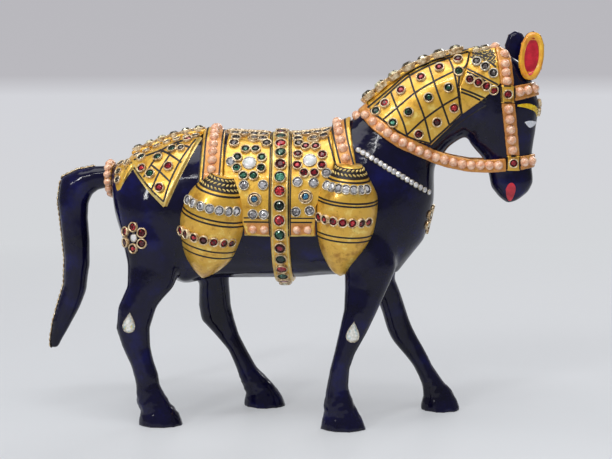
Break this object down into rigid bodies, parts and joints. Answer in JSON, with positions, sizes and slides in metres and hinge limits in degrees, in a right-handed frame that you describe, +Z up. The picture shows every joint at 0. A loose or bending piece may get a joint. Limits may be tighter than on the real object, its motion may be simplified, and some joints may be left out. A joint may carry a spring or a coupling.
{
  "type": "decorated horse figurine",
  "caption": "Walking horse figurine: dark enamelled casting with gilt saddle cloth, half pots, bands and bridle in relief, set with faceted stones and half pearls.",
  "frame": {"origin": "on the ground under the middle of the overall box of the figure", "axes": "+X from the tail to the head, +Z up, the horse's right side faces -Y"},
  "size_m": [0.1893, 0.0576, 0.1479],
  "materials": {
    "enamel": "glossy midnight blue enamel over a cast metal body",
    "gilt": "gold leaf relief with dark painted lines",
    "ruby": "faceted, foil backed",
    "emerald": "faceted, foil backed",
    "clear_stone": "faceted, foil backed",
    "champagne_stone": "faceted, foil backed",
    "blue_stone": "faceted, foil backed",
    "opal": "milky dome",
    "pearl": "peach half pearls"
  },
  "bodies": {
    "root": {"bridle_pearls": "pearl", "browband": "gilt", "cheek_straps": "gilt", "chest_stones": "ruby", "crest_crystals": "champagne_stone", "crest_ridge": "gilt", "croup_cloth": "gilt", "croup_crystals": "champagne_stone", "croup_ridge": "gilt", "croup_stones_green": "emerald", "croup_stones_red": "ruby", "crupper_pearls": "pearl", "crupper_ring": "gilt", "ear_left": "enamel", "ear_right": "enamel", "flower_centres": "opal", "flower_stones_green": "emerald", "flower_stones_red": "ruby", "forehead_stones": "clear_stone", "girth_band": "gilt", "girth_stones_green": "emerald", "girth_stones_red": "ruby", "headstall": "gilt", "hem_pearls": "pearl", "hip_stones_clear": "clear_stone", "hip_stones_red": "ruby", "horse_casting": "enamel", "leg_drops": "clear_stone", "neck_cloth": "gilt", "neck_stones_green": "emerald", "neck_stones_red": "ruby", "necklace": "clear_stone", "noseband": "gilt", "poll_cloth": "gilt", "poll_stones_clear": "clear_stone", "poll_stones_red": "ruby", "pot_front_left": "gilt", "pot_front_right": "gilt", "pot_rear_left": "gilt", "pot_rear_right": "gilt", "pot_stones_clear": "clear_stone", "pot_stones_red": "ruby", "rein": "gilt", "rein_pearls": "pearl", "rosette_stones_lower": "ruby", "rosette_stones_upper": "ruby", "rosettes_lower": "gilt", "rosettes_upper": "gilt", "saddle_cloth": "gilt", "saddle_stones_blue": "blue_stone", "saddle_stones_clear": "clear_stone", "saddle_stones_ringed": "champagne_stone", "saddle_stones_top": "clear_stone", "saddle_strap_front": "gilt", "saddle_strap_rear": "gilt", "strap_pearls_front": "pearl", "strap_pearls_rear": "pearl", "tail": "enamel", "tail_chain": "clear_stone"}
  },
  "joints": []
}
